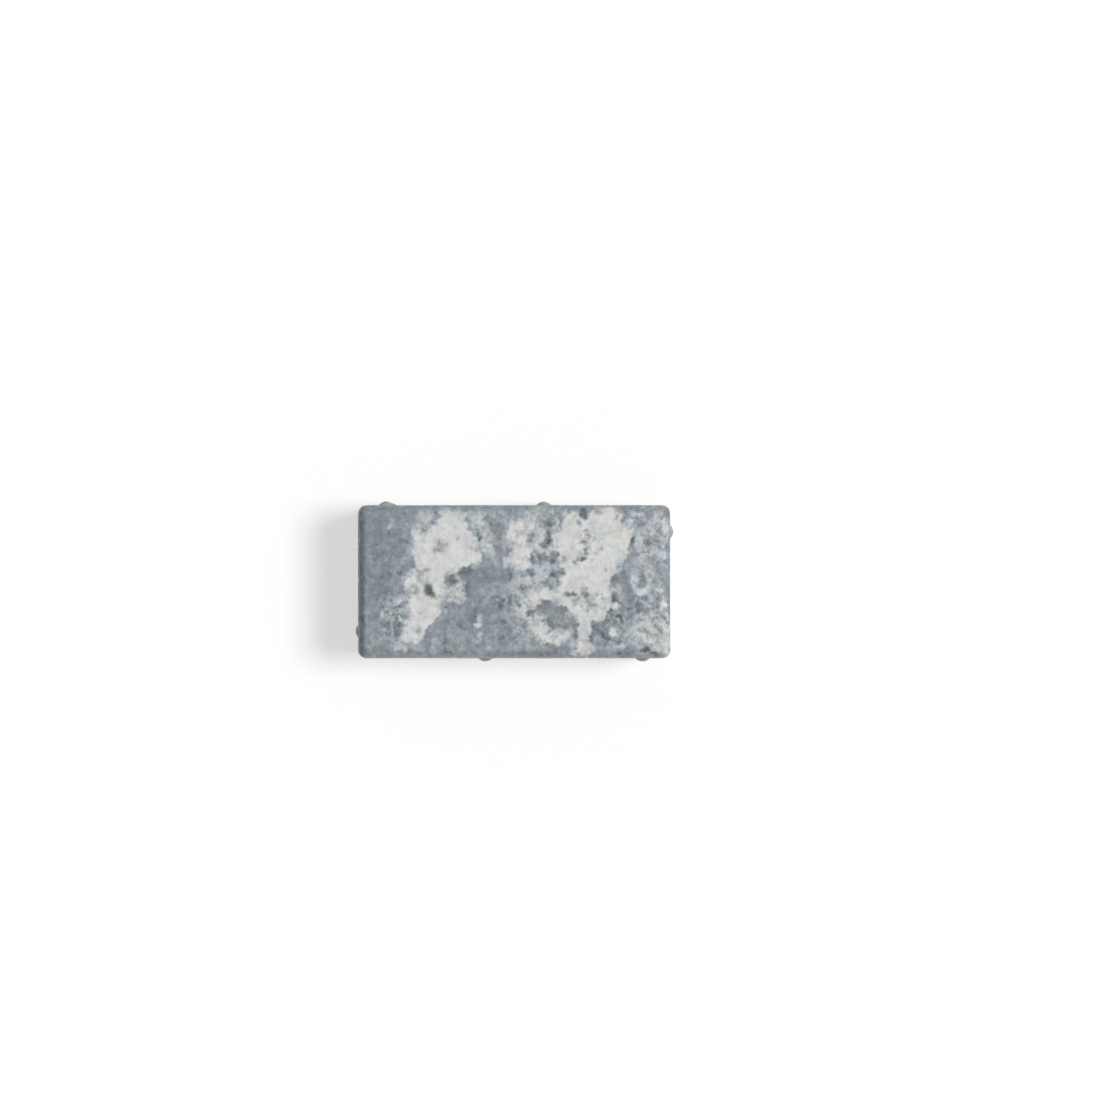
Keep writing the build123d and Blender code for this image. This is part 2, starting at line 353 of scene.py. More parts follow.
darkMarks = [  # dark flecks, thin places in the cream, and a few pale grains among them
    (-55, 7, 3.4, 1.3, 15, 160), (-59, 3, 2.2, 4.5, 15, 174), (-54.5, 2, 1.8, 4, 0, 184),
    (-66, -7.5, 1.6, 3, 0, 184), (-34.6, -3, 1.2, 5.2, 4, 195), (-34.4, -9, 1.6, 2.4, 0, 198),
    (44, 16, 2.6, 3, 0, 180), (43.5, 26, 2.4, 2.4, 0, 176), (-39, 1.5, 5.6, 4, -20, 166),
    (-40, 1.4, 4, 2.9, -25, 122), (-30.5, 7, 4.8, 2.8, 5, 122), (-45.5, 22, 4.6, 4.4, 20, 186),
    (-45.2, 22.6, 2.4, 3, 10, 160), (-47.5, 20, 2.6, 1.6, 0, 168), (-38.5, 34.5, 1.8, 1.2, 0, 194),
    (38, 40.5, 1.8, 2.4, 0, 182), (10, -14, 1.8, 2.8, 0, 172), (47.5, -13, 3.6, 3, 0, 187),
    (44.3, -33, 3.4, 8, 0, 193), (28, 22, 1.6, 2.4, 0, 184), (27, -11.5, 2.4, 1.4, 0, 184),
    (22, -8.5, 1.6, 2, 0, 186), (60.5, -5.5, 1.8, 2.6, 0, 188), (-36, 27.3, 1, 1.2, 0, 190),
    (-28.3, 36.6, 1.7, 3.6, 0, 156), (-23, 20.2, 3.8, 1, -12, 166), (-22.3, 28.5, 1.3, 3.2, 5, 124),
    (-18, 14.8, 2.2, 1.6, 0, 141), (-28, 31, 1.3, 1.3, 0, 208), (-59.8, -31, 1.5, 1.4, 0, 160),
    (-57.5, -19, 3, 0.8, 10, 188), (-67.5, -17, 1.5, 3.5, 0, 182), (-72.3, -15.3, 2.4, 1.3, 35, 114),
    (-69, -19.5, 2.5, 0.8, 0, 150), (-74, -27.3, 2.6, 1.5, 20, 110), (-73.5, -32.5, 1.8, 3.2, 0, 133),
    (-65, -43.5, 1.3, 1.6, 0, 131), (-88.2, 14, 1.6, 1.3, 0, 116), (-85.7, 23.3, 0.9, 0.8, 0, 112),
    (-68, 25.5, 2.4, 1, -15, 118), (-73, 21, 1.8, 0.8, 10, 120), (-78.5, 5, 1.1, 1.1, 0, 116),
    (-72, 5.5, 2, 1.3, 10, 118), (-82.7, 4.5, 1, 3.2, 0, 120), (-79, 30, 0.7, 1.5, 0, 122),
    (-83, -14, 1.3, 2, 0, 125), (-43.5, -34.5, 1.1, 5, 0, 116), (-33, -28.3, 3.6, 1.3, -38, 117),
    (-42, -44, 2.6, 1.6, 0, 116), (-25.5, -24.5, 3, 3, 0, 128), (-38, -23, 1.2, 1.5, 0, 117),
    (-29.7, -23.3, 0.8, 1, 0, 112), (-8.2, -14.3, 1.5, 3.2, 0, 107), (-3, -13, 1.2, 3.6, 0, 120),
    (-7, -25, 1.6, 1.5, -30, 111), (-13, -9.8, 4, 0.7, 8, 122), (-8, -35.6, 1.8, 1.1, 15, 115),
    (-24, -18, 1.2, 2, 0, 125), (-29, -5, 1.8, 4, 0, 127), (-2.8, 4, 1.6, 2.8, 0, 121),
    (-43.3, -15.6, 2, 0.9, -10, 120), (-38.8, -28.7, 1, 0.9, 0, 120), (-18.5, -33.5, 0.6, 1.8, 0, 127),
    (-9.5, 33, 4, 4, 0, 138), (-9.3, 28, 1.3, 1.6, 0, 133), (-14.3, 36.3, 1.3, 1.3, 0, 133),
    (22.6, 36, 4.2, 3.6, 0, 145), (22.6, 36, 1.8, 2.2, 0, 122), (18, 34.3, 1.6, 1.2, 0, 135),
    (29.5, 37.8, 1, 3, 0, 134), (27, 32.6, 3, 1, 0, 142), (43.4, 44.2, 2.4, 3.2, -10, 112),
    (41.4, 36.8, 1.6, 1.8, 0, 145), (44.6, 32, 1.5, 1.2, 0, 167), (12, 32.4, 4, 0.9, 0, 158),
    (12.5, 27.5, 3.4, 2.6, 0, 164), (9.3, 26, 1.3, 2, 0, 155), (19.5, 23.4, 3.2, 1.8, 30, 140),
    (21, 28, 1.9, 4.2, -5, 142), (21.2, 27, 1, 2.6, 0, 122), (25.4, 15.4, 2.4, 4.2, -15, 140),
    (25.2, 14.8, 1.5, 2.4, -20, 119), (16.5, 15.8, 3.4, 2.2, -15, 150), (11.4, 14.6, 1.5, 2.8, 15, 142),
    (22.3, 13.6, 1, 1.8, 0, 150), (31.8, 14.4, 1, 2, 0, 152), (27, 9.5, 2, 1.4, 30, 172),
    (20, 11, 2.2, 1.6, 0, 176), (38, 11.6, 1.4, 1.2, 0, 151), (40.3, 14.3, 0.9, 1.5, 0, 149),
    (44.8, 19.5, 0.8, 3.6, -5, 147), (42.8, 25.3, 1.6, 1.2, 0, 145), (46.7, 28.6, 1.5, 1, 0, 155),
    (50.8, 26.8, 1, 1.6, 0, 167), (55.5, 20.8, 1.2, 1.3, 0, 161), (68, 37.6, 0.9, 2.4, 0, 159),
    (65.3, 41, 1.2, 0.9, 0, 150), (58, 7.2, 1.3, 1.2, 0, 165), (53, 43.8, 3, 1.6, 0, 162),
    (12, 5.2, 3.4, 2.4, 0, 140), (12.5, 5, 1.6, 1.2, 0, 118), (9.5, 7.5, 1, 1.6, 0, 140),
    (26, 5.6, 5, 2.8, -10, 148), (24.2, 5, 2.2, 1.5, 20, 118), (30.8, 6, 1.2, 2.2, 0, 136),
    (24.5, 8.5, 0.9, 1.8, 0, 138), (28.2, 0.6, 1, 1.2, 0, 134), (22.8, -2.2, 3.4, 1.8, 0, 144),
    (23.8, -3.6, 1.4, 0.8, 0, 126), (6.5, -4.8, 4.4, 2.4, 10, 146), (6, -4.5, 1.8, 1.2, 0, 132),
    (2.3, -11.5, 2.2, 3, 0, 150), (35.3, -8, 4, 1.6, 8, 138), (36.5, -8, 1.8, 0.9, 0, 118),
    (45, -8.5, 4, 4.6, 20, 172), (45.5, -8, 2.2, 3, 0, 153), (42.3, -14.5, 0.9, 3.8, 25, 156),
    (39, -13, 3, 2.4, 0, 176), (48.5, -11.5, 2.6, 0.9, 20, 158), (51.5, -7.5, 1.4, 2, 0, 180),
    (52, -15, 3, 1, -25, 176), (56.5, -11, 2.2, 1, 30, 178), (47, -18, 1, 2.4, 10, 176),
    (10.5, -19.5, 3.4, 2.2, 0, 136), (19.5, -15, 4, 3, 0, 132), (23, -25, 2.6, 3, 0, 137),
    (28, -28, 3, 1.5, 0, 136), (35, -20.5, 2, 2, 0, 176), (16.5, -20.5, 2.4, 1.4, -30, 164),
    (30.5, -24, 2.4, 2.6, 0, 162), (30.7, -24, 1.2, 1.4, 0, 132), (25, -18, 1.4, 2.4, 20, 154),
    (36.5, -27, 2.6, 3, 0, 148), (36, -33, 1.8, 2.6, 0, 172), (38.8, -27.3, 1.4, 1.6, 0, 120),
    (39.3, -33, 1.3, 2.6, 0, 128), (31.3, -21, 1.6, 1, 0, 122), (32.7, -29, 1.6, 0.8, 0, 122),
    (22, -40, 2.6, 2, 0, 130), (19, -25.5, 1.2, 1.6, 0, 150), (21, -33, 2.6, 1.2, 15, 170),
    (26.5, -33.5, 1.2, 1.4, 0, 168), (48.8, -34.5, 1.5, 2.8, 0, 114), (51, -27.5, 2.4, 3.4, 0, 130),
    (52.5, -30.6, 3.4, 0.9, -8, 113), (56.3, -34, 1.6, 2.8, 0, 117), (69, 5.6, 0.8, 1.7, -20, 104),
    (60.7, -18.8, 1.7, 1.3, 0, 113), (58.8, -23.5, 1.1, 2.6, 0, 130), (66.6, -21.8, 2.2, 1.5, 0, 92),
    (67.5, -23.5, 0.8, 1.4, 0, 100), (71.5, -23, 1.7, 0.9, -20, 110), (73, -17, 1.1, 1, 0, 105),
    (78.4, -12.6, 1.3, 1.2, 0, 111), (78.5, -18, 2.6, 1.6, 0, 128), (74.7, 26.6, 1, 2.6, 0, 103),
    (85, 26, 3.6, 4, 0, 141), (81.3, 37, 0.8, 2, 0, 135), (78, 36.5, 1, 2, 0, 150),
    (91, 33.3, 2.2, 1.8, 0, 148), (96, 43.3, 1.6, 2, 0, 132), (74, 40, 1.2, 0.8, 0, 138),
    (83, 45, 4, 2, 0, 145), (88.6, -28.5, 1.6, 1.3, 0, 145), (82, -30.7, 1.8, 0.9, -10, 158),
    (97, -26.6, 1.2, 1.7, 0, 114), (94.8, -22.8, 0.8, 3.6, 35, 131), (90.3, -16.3, 1.3, 1.3, 0, 130),
    (86.5, -17.8, 2.5, 1, -10, 142), (83, -43, 2.6, 1.3, 0, 119), (88.3, -45, 3, 1.5, 0, 126),
    (66.6, -45, 1, 1.1, 0, 110), (72, -43.5, 2.5, 2.5, 0, 136),
]
grains = [  # stones and stains of a clear shape, whose borders are torn half as far
    (-53.2, -6, 5.3, 3.4, -54, 172), (-53.2, -6, 4.7, 2.6, -54, 96), (-63, -4.8, 3, 3.2, 0, 176),
    (-63.4, -5, 1.4, 1.5, 0, 206), (-22, -22.5, 1.6, 2.6, 0, 190), (-22.6, -27.4, 2.4, 1.5, 10, 206),
    (-21.5, -33.2, 1.6, 2.2, 0, 194), (-22, -37.2, 2.1, 2.2, 0, 182), (-83, -20, 1.3, 2.8, 0, 196),
    (62, -31.8, 3.2, 3.6, -15, 150), (62, -31.8, 2.3, 2.8, -15, 216), (61.5, -35.8, 2.4, 0.8, 0, 122),
    (76.3, 2.4, 2.4, 2.1, 0, 198), (75.4, -2.2, 1.5, 3.4, 15, 188), (79.5, -6.2, 4.2, 2.3, -5, 206),
    (84.2, -3.5, 1.5, 3.2, -8, 190), (81.4, 2.6, 2.4, 2.2, 0, 136), (94, -14.5, 2.2, 2.7, 0, 208),
    (91.3, -5.4, 2, 1.5, -20, 204), (73.5, 37.4, 2.4, 1.9, 0, 200), (43.8, 14.2, 1.9, 1.1, 10, 110),
    (63, 1.6, 1.8, 3, -10, 118), (62.7, -10.5, 1.8, 3.2, 0, 126),
]
sharpBorders = [  # where a clump's border is sharp
    (-33, 6.5, 16, 5, 25), (-53, -30, 12, 4, 57), (73, 21, 4, 11, -12), (30, -16, 10, 4, -38),
    (44.5, -30, 5, 8, 0), (62, 2, 3, 6, 0), (24, 27, 3, 7, 0), (-20.5, 15, 3, 4, 0),
]
crumbledAreas = [  # where cream and blue-grey are broken up into crumbs
    (14, 20, 14, 27, 0), (25, 36, 6, 10, 0), (10, -8, 12, 10, 0), (20, -32, 15, 8, 0), (87, -22, 13, 27, 0),
    (86, 30, 13, 19, 0), (62, -20, 9, 10, 0), (-37, -5, 7, 7, 0), (45, 20, 6, 14, 0), (47, -12, 10, 8, 0),
    (83, 3, 9, 11, 0), (-76, -22, 9, 16, 0), (-54, 36, 7, 9, 0), (-20, 32, 7, 14, 0), (4, -26, 7, 12, 0),
    (62, -36, 14, 6, 0),
]


def tornPlaces(points):
    # moves each point a little, so that borders wander and tear: for the marks, then for the clumps
    fractal.seed_set(tearSeed)  # or else these vectors differ from run to run
    marks, ragged = points.copy(), points.copy()
    for size, markReach, clumpReach in torn:
        shift = np.array([fractal.noise_vector(Vector(p) / size) for p in points.tolist()])
        marks += shift * markReach
        ragged += shift * clumpReach
    return marks.T, ragged.T


def softStep(value):
    share = np.clip(value, 0, 1)
    return share * share * (3 - 2 * share)


def markShare(x, y, markX, markY, halfLength, halfWidth, tilt):
    # 1 well inside a mark, 0 well outside
    turn = math.radians(tilt)
    u = ((x - markX) * math.cos(turn) + (y - markY) * math.sin(turn)) / halfLength
    v = ((y - markY) * math.cos(turn) - (x - markX) * math.sin(turn)) / halfWidth
    half = min(halfLength, halfWidth)
    border = markBorder[0] + markBorder[1] * half
    return softStep((1 - np.hypot(u, v)) * half / (2 * border) + 0.5)


def mostOf(marks, x, y):
    return np.max([markShare(x, y, *mark) for mark in marks], axis=0)


def toneOf(shade):
    # the tone whose colour has this brightness
    return np.interp(shade, [sum(colour) / 3 for _, colour in faceTones], [tone for tone, _ in faceTones])


def layMarks(tone, marks, x, y):
    for *place, shade in marks:
        tone += (toneOf(shade) - tone) * markShare(x, y, *place)


def insideOutline(outline, x, y):
    # how far inside a closed outline each place is, in mm, and less than 0 outside
    nearest = np.full(len(x), np.inf)
    crossings = np.zeros(len(x), dtype=int)
    for (startX, startY), (endX, endY) in zip(outline, outline[1:] + outline[:1]):
        runX, runY = endX - startX, endY - startY
        along = ((x - startX) * runX + (y - startY) * runY) / (runX**2 + runY**2)
        along = np.clip(along, 0, 1)
        nearest = np.minimum(nearest, np.hypot(x - startX - along * runX, y - startY - along * runY))
        spans = (startY > y) != (endY > y)
        crossings += spans & (x < startX + (y - startY) * runX / (runY or 1e-9))
    return np.where(crossings % 2 == 1, nearest, -nearest)


def facePattern(points):
    # tone, how much it's crumbled, and how much of it is cream concrete
    (x, y, _), ragged = tornPlaces(points)
    tone = np.full(len(points), toneOf(groundShade))
    # the broad fields, and the painted shade on the bevels
    layMarks(tone, fieldsAndBevelShade, x, y)
    layMarks(tone, paleMarks, x, y)
    sharp = mostOf(sharpBorders, x, y)
    soft = clumps["soft"] + (clumps["sharp"] - clumps["soft"]) * sharp
    clumpX = x + (ragged[0] - x) * (1 - sharp)
    clumpY = y + (ragged[1] - y) * (1 - sharp)
    crumble = mostOf(crumbledAreas, x, y)
    cream = np.zeros(len(points))
    for shade, outline in zip(clumps["shades"], creamClumps):
        inside = insideOutline(outline, clumpX, clumpY)
        halo = softStep(inside / (soft * clumps["haloReach"]) + 1)
        tone += np.maximum(toneOf(clumps["haloShade"]) - tone, 0) * halo
        share = softStep(inside / soft + 0.5)
        tone += (toneOf(shade) - tone) * share
        cream = np.maximum(cream, share)
        border = softStep(inside / (2 * clumps["crumbleReach"]) + 0.5)
        crumble = np.maximum(crumble, 4 * border * (1 - border) * (1 - sharp))
    layMarks(tone, darkMarks, x, y)
    layMarks(tone, grains, (x + points.T[0]) / 2, (y + points.T[1]) / 2)
    return tone, crumble, cream


def storeField(mesh, name, values):
    attribute = mesh.attributes.new(name, "FLOAT", "POINT")
    attribute.data.foreach_set("value", values.astype(np.float32))


# Node helpers, for geometry and materials alike.


def plug(tree, socket, value):
    if isinstance(value, bpy.types.NodeSocket):
        tree.links.new(value, socket)
    else:
        socket.default_value = value


def addNode(tree, kind, settings, inputs):
    node = tree.nodes.new(kind)
    for name, value in settings.items():
        setattr(node, name, value)
    for name, value in inputs.items():
        plug(tree, node.inputs[name], value)
    return node


def calc(tree, operation, *values):
    return addNode(tree, "ShaderNodeMath", {"operation": operation}, dict(enumerate(values))).outputs[0]


def vectorCalc(tree, operation, *values):
    node = addNode(tree, "ShaderNodeVectorMath", {"operation": operation}, dict(enumerate(values)))
    return node.outputs[0]


def stretched(tree, where, x, y, z):
    return vectorCalc(tree, "MULTIPLY", where, (x, y, z))


def overOne(tree, size):
    return calc(tree, "DIVIDE", 1.0, size) if isinstance(size, bpy.types.NodeSocket) else 1 / size


def noise(tree, where, size, detail=2.0, roughness=0.5, layer=0):
    # soft noise from 0 to 1 whose features measure about size mm
    settings = {"noise_dimensions": "4D"}
    inputs = {"Vector": where, "W": seed + layer * noiseGap, "Scale": overOne(tree, size)}
    inputs.update({"Detail": detail, "Roughness": roughness})
    return addNode(tree, "ShaderNodeTexNoise", settings, inputs).outputs[0]


def ramp(tree, value, low, high, start=0.0, end=1.0):
    inputs = {"Value": value, "From Min": low, "From Max": high, "To Min": start, "To Max": end}
    return addNode(tree, "ShaderNodeMapRange", {"interpolation_type": "SMOOTHSTEP"}, inputs).outputs[0]


# Geometry Nodes: the relief of pressed concrete, cut inwards from the blank so that it stays in its box.

relief = {
    "Wave Depth": 0.5,  # slow unevenness of every surface
    "Grain Depth": 0.3,  # sand grains in the walking surface
    "Grain Size": 1.7,
    "Wall Grain Depth": 0.9,
    "Drag Depth": 0.7,  # upright streaks where the stone slid out of its mould
    "Pit Depth": 0.9,
    "Pit Size": 3.2,  # spacing of the pits
    "Chip Depth": 0.9,  # along the edges
    "Chip Size": 4.0,
}
reliefShape = {  # what the tree holds fixed
    "level": 0.4,  # noise below this keeps the blank's surface
    "waveSize": 22,
    "wallGrainSize": 2.2,
    "dragSize": 1.8,
    "dragStretch": 0.07,
    "smallPits": 0.25,  # share of the cells that have a pit
    "largePits": 0.3,
    "largePitScale": 0.5,  # small against large
    "pitRadius": 0.42,  # of the largest, against the spacing
    "pitSlope": 0.2,
    "pittedPatch": 14,  # size of the patches of the walking surface that have pits
    "pittedEdge": (0.5, 0.62),  # between which values of the noise a patch begins
    "topPitDepth": 0.5,  # against the pits elsewhere
    "chipEdge": (0.5, 0.8),  # the same of a chip
    "topNormal": (0.1, 0.5),  # how far the surface looks upwards, from wall to top
    "underNormal": (-0.1, -0.6),
}


def groupInputs(tree, sizes):
    tree.interface.new_socket(name="Geometry", in_out="INPUT", socket_type="NodeSocketGeometry")
    for name in sizes:
        tree.interface.new_socket(name=name, in_out="INPUT", socket_type="NodeSocketFloat")
    tree.interface.new_socket(name="Material", in_out="INPUT", socket_type="NodeSocketMaterial")
    tree.interface.new_socket(name="Geometry", in_out="OUTPUT", socket_type="NodeSocketGeometry")
    return tree.nodes.new("NodeGroupInput").outputs, tree.nodes.new("NodeGroupOutput").inputs


def named(tree, name):
    node = addNode(tree, "GeometryNodeInputNamedAttribute", {"data_type": "FLOAT"}, {"Name": name})
    return node.outputs[0]


def hollows(tree, value, depth):
    # the depth below a surface whose high places keep the blank's level
    above = calc(tree, "MAXIMUM", calc(tree, "SUBTRACT", value, reliefShape["level"]), 0.0)
    return calc(tree, "MULTIPLY", above, depth)


def pits(tree, where, spacing, share, layer):
    # round hollows, 0 outside and 1 at their middles, in some of the cells only
    settings = {"voronoi_dimensions": "4D", "feature": "F1"}
    inputs = {"Vector": where, "W": seed + layer * pitGap, "Scale": overOne(tree, spacing)}
    cells = addNode(tree, "ShaderNodeTexVoronoi", settings, inputs)
    chosen = addNode(tree, "ShaderNodeSeparateXYZ", {}, {"Vector": cells.outputs["Color"]}).outputs
    reach = ramp(tree, chosen[0], 1 - share, 1.0, 0.0, reliefShape["pitRadius"])
    within = calc(tree, "SUBTRACT", reach, cells.outputs["Distance"])
    return ramp(tree, within, 0.0, reliefShape["pitSlope"])


def reliefTree():
    tree = bpy.data.node_groups.new("pressedRelief", "GeometryNodeTree")
    given, out = groupInputs(tree, relief)
    place = vectorCalc(tree, "SCALE", tree.nodes.new("GeometryNodeInputPosition").outputs[0])
    place.node.inputs["Scale"].default_value = 1 / mm
    normal = tree.nodes.new("GeometryNodeInputNormal").outputs[0]
    up = addNode(tree, "ShaderNodeSeparateXYZ", {}, {"Vector": normal}).outputs["Z"]
    isTop = ramp(tree, up, *reliefShape["topNormal"])
    isUnder = ramp(tree, up, *reliefShape["underNormal"])
    isWall = calc(tree, "SUBTRACT", calc(tree, "SUBTRACT", 1.0, isTop), isUnder)

    wave = hollows(tree, noise(tree, place, reliefShape["waveSize"], 2, 0.5, 1), given["Wave Depth"])
    topGrain = hollows(tree, noise(tree, place, given["Grain Size"], 3, 0.55, 2), given["Grain Depth"])
    wallNoise = noise(tree, place, reliefShape["wallGrainSize"], 3, 0.6, 3)
    wallGrain = hollows(tree, wallNoise, given["Wall Grain Depth"])
    upright = stretched(tree, place, 1, 1, reliefShape["dragStretch"])
    streaks = noise(tree, upright, reliefShape["dragSize"], 3, 0.6, 4)
    drag = calc(tree, "MULTIPLY", hollows(tree, streaks, given["Drag Depth"]), isWall)

    smallPits = pits(tree, place, given["Pit Size"], reliefShape["smallPits"], 1)
    scale = reliefShape["largePitScale"]
    larger = stretched(tree, place, scale, scale, scale)
    largePits = pits(tree, larger, given["Pit Size"], reliefShape["largePits"], 2)
    roughPits = calc(tree, "MAXIMUM", smallPits, largePits)
    patches = noise(tree, place, reliefShape["pittedPatch"], 1, 0.5, 5)
    rare = ramp(tree, patches, *reliefShape["pittedEdge"])
    topPits = calc(tree, "MULTIPLY", calc(tree, "MULTIPLY", smallPits, rare), reliefShape["topPitDepth"])
    pitShare = calc(tree, "ADD", calc(tree, "MULTIPLY", topPits, isTop),
                    calc(tree, "MULTIPLY", roughPits, calc(tree, "SUBTRACT", 1.0, isTop)))
    pitDepth = calc(tree, "MULTIPLY", pitShare, given["Pit Depth"])

    broken = ramp(tree, noise(tree, place, given["Chip Size"], 3, 0.6, 6), *reliefShape["chipEdge"])
    chipped = calc(tree, "MULTIPLY", broken, named(tree, "edgeNear"))
    chips = calc(tree, "MULTIPLY", chipped, given["Chip Depth"])

    surfaceGrain = calc(tree, "ADD", calc(tree, "MULTIPLY", topGrain, isTop),
                        calc(tree, "MULTIPLY", wallGrain, calc(tree, "SUBTRACT", 1.0, isTop)))
    depth = wave
    for part in (surfaceGrain, drag, pitDepth, chips):
        depth = calc(tree, "ADD", depth, part)
    offset = vectorCalc(tree, "SCALE", normal)
    tree.links.new(calc(tree, "MULTIPLY", depth, -mm), offset.node.inputs["Scale"])

    kept = addNode(tree, "GeometryNodeStoreNamedAttribute", {"data_type": "FLOAT", "domain": "POINT"},
                   {"Geometry": given["Geometry"], "Name": "pitShare", "Value": pitShare})
    moved = addNode(tree, "GeometryNodeSetPosition", {}, {"Geometry": kept.outputs[0], "Offset": offset})
    smooth = addNode(tree, "GeometryNodeSetShadeSmooth", {},
                     {"Geometry": moved.outputs[0], "Shade Smooth": True})
    real = addNode(tree, "GeometryNodeRealizeInstances", {}, {"Geometry": smooth.outputs[0]})
    inputs = {"Geometry": real.outputs[0], "Material": given["Material"]}
    plug(tree, out["Geometry"], addNode(tree, "GeometryNodeSetMaterial", {}, inputs).outputs[0])
    return tree


def setInput(modifier, name, value):
    sockets = modifier.node_group.interface.items_tree
    socket = next(s for s in sockets if s.name == name and s.in_out == "INPUT")
    modifier[socket.identifier] = value


# The concrete: colours as they show on the stone, from 0 to 255.

faceTones = [  # tone of the coloured face, and its colour
    (0.0, (90, 96, 102)),
    (0.18, (115, 122, 128)),
    (0.36, (138, 145, 151)),
    (0.5, (159, 166, 171)),
    (0.66, (182, 187, 192)),
    (0.82, (199, 204, 208)),
    (1.0, (211, 214, 216)),
]
creamTones = [  # the same, in the cream clumps
    (0.0, (94, 96, 98)),
    (0.18, (120, 122, 123)),
    (0.36, (143, 146, 146)),
    (0.5, (163, 166, 167)),
    (0.66, (184, 186, 187)),
    (0.82, (202, 203, 203)),
    (1.0, (218, 218, 217)),
]
coreTones = [
    (0.0, (122, 123, 121)),
    (0.5, (166, 167, 164)),
    (1.0, (200, 201, 198)),
]
concrete = {  # an Edge holds the two values of the noise between which its kind of place begins
    "mottle": ((9.0, 0.14), (4.0, 0.28), (1.7, 0.12)),  # size and strength of each layer of mottling
    "creamMottle": ((12.0, 0.16), (4.5, 0.2)),  # and of those in the cream clumps only
    "crumbs": ((5.0, 0.11), (2.6, 0.08)),  # size and strength of the crumbs at torn borders
    "crumbEdge": (0.4, 0.6),
    "flecks": ((2.8, 0.15, 0.58, 0.72), (2.6, -0.15, 0.6, 0.74)),  # pale and dark: size, strength, Edge
    "tints": (  # size of each pair's patches, and the two tints that they waver between
        (6.0, (255, 253, 250), (250, 253, 255)),
        (9.0, (253, 255, 253), (255, 253, 255)),
    ),
    "tintEdge": (0.38, 0.62),
    # painted shade: the pits are darkened towards this colour
    "pitShadeColour": (92, 97, 100),
    "pitShadeStrength": 0.55,  # how much of that painted shade a pit shows
    "wornColour": (164, 164, 159),
    "wornSize": 3.0,
    "wornEdge": (0.3, 0.7),
    "wornStain": 0.8,
    "faceDepth": 8.0,  # how far the coloured face reaches down the walls
    "seamSize": 12,  # of the waves in its lower border
    "seamWander": 9.0,  # how far the border wanders up and down
    "seamBlend": 0.8,
    "coreMottle": ((14.0, 0.16), (5.0, 0.3), (1.8, 0.3), (0.9, 0.2)),
    "coreGrains": ((3.2, 0.2), (2.4, -0.18)),  # size and strength of the pale and dark grains of sand
    "coreGrainEdge": (0.6, 0.68),
    "poreSize": 1.5,
    "poreEdge": (0.69, 0.8),
    # painted shade: the core's pores are darkened towards this colour
    "poreShadeColour": (84, 85, 84),
    "poreShadeStrength": 0.6,
    "grainSize": 0.55,  # the finest, which is bump only
    "sandSize": 1.3,
    "sandBump": 2.5,  # of the core's sand and pores, against that grain
    "bumpDepth": 0.12,
    "shine": 0.3,  # specular level
    "roughness": (0.8, 0.95),
}


def paint(colour):
    # a colour as it shows on a screen, as the linear one that a shader takes
    linear = [((c / 255 + 0.055) / 1.055) ** 2.4 for c in colour]
    return (*linear, 1.0)


def blendColours(tree, share, first, second, mode="MIX"):
    node = tree.nodes.new("ShaderNodeMix")
    node.data_type = "RGBA"
    node.blend_type = mode
    for index, value in ((0, share), (6, first), (7, second)):
        plug(tree, node.inputs[index], value)
    return node.outputs[2]


def toneColour(tree, tone, tones):
    node = tree.nodes.new("ShaderNodeValToRGB")
    stops = node.color_ramp.elements
    while len(stops) < len(tones):
        stops.new(0.5)
    for stop, (position, colour) in zip(stops, tones):
        stop.position = position
        stop.color = paint(colour)
    plug(tree, node.inputs[0], tone)
    return node.outputs[0]


def readField(tree, name):
    return addNode(tree, "ShaderNodeAttribute", {"attribute_name": name}, {}).outputs["Fac"]


def addTimes(tree, tone, strength, what):
    return calc(tree, "ADD", tone, calc(tree, "MULTIPLY", what, strength))


def mottled(tree, tone, where, layers, firstLayer):
    for number, (size, strength) in enumerate(layers):
        spread = calc(tree, "SUBTRACT", noise(tree, where, size, 2, 0.6, firstLayer + number), 0.5)
        tone = addTimes(tree, tone, strength * 2, spread)
    return tone


def faceConcrete(tree, where):
    # the coloured face: marks broken up into crumbs, with flecks of the other colour in each
    tone = mottled(tree, readField(tree, "faceTone"), where, concrete["mottle"], 20)
    cream = readField(tree, "cream")
    spread = mottled(tree, 0.0, where, concrete["creamMottle"], 40)
    tone = calc(tree, "ADD", tone, calc(tree, "MULTIPLY", spread, cream))
    for number, (size, strength) in enumerate(concrete["crumbs"]):
        broken = noise(tree, where, size, 2, 0.6, 35 + number)
        crumbs = ramp(tree, broken, *concrete["crumbEdge"], -strength, strength)
        tone = calc(tree, "ADD", tone, calc(tree, "MULTIPLY", crumbs, readField(tree, "crumble")))
    for number, (size, strength, low, high) in enumerate(concrete["flecks"]):
        fleck = ramp(tree, noise(tree, where, size, 2, 0.5, 25 + number), low, high)
        tone = addTimes(tree, tone, strength, fleck)
    blue, creamy = (toneColour(tree, tone, tones) for tones in (faceTones, creamTones))
    colour = blendColours(tree, cream, blue, creamy)
    for number, (size, first, second) in enumerate(concrete["tints"]):
        share = ramp(tree, noise(tree, where, size, 3, 0.6, 30 + number), *concrete["tintEdge"])
        tint = blendColours(tree, share, paint(first), paint(second))
        colour = blendColours(tree, 1.0, colour, tint, "MULTIPLY")
    return colour


def coreConcrete(tree, where):
    middle = coreTones[1][0]
    tone = mottled(tree, middle, where, concrete["coreMottle"], 60)
    for number, (size, strength) in enumerate(concrete["coreGrains"]):
        shown = ramp(tree, noise(tree, where, size, 1, 0.5, 75 + number), *concrete["coreGrainEdge"])
        tone = addTimes(tree, tone, strength, shown)
    return toneColour(tree, tone, coreTones)


def wornOrShaded(tree, colour, where, strength, wearOrShadeColour):
    # blends towards a colour: real wear at the edges, or painted shade in the pits and pores
    return blendColours(tree, calc(tree, "MULTIPLY", where, strength), colour, paint(wearOrShadeColour))


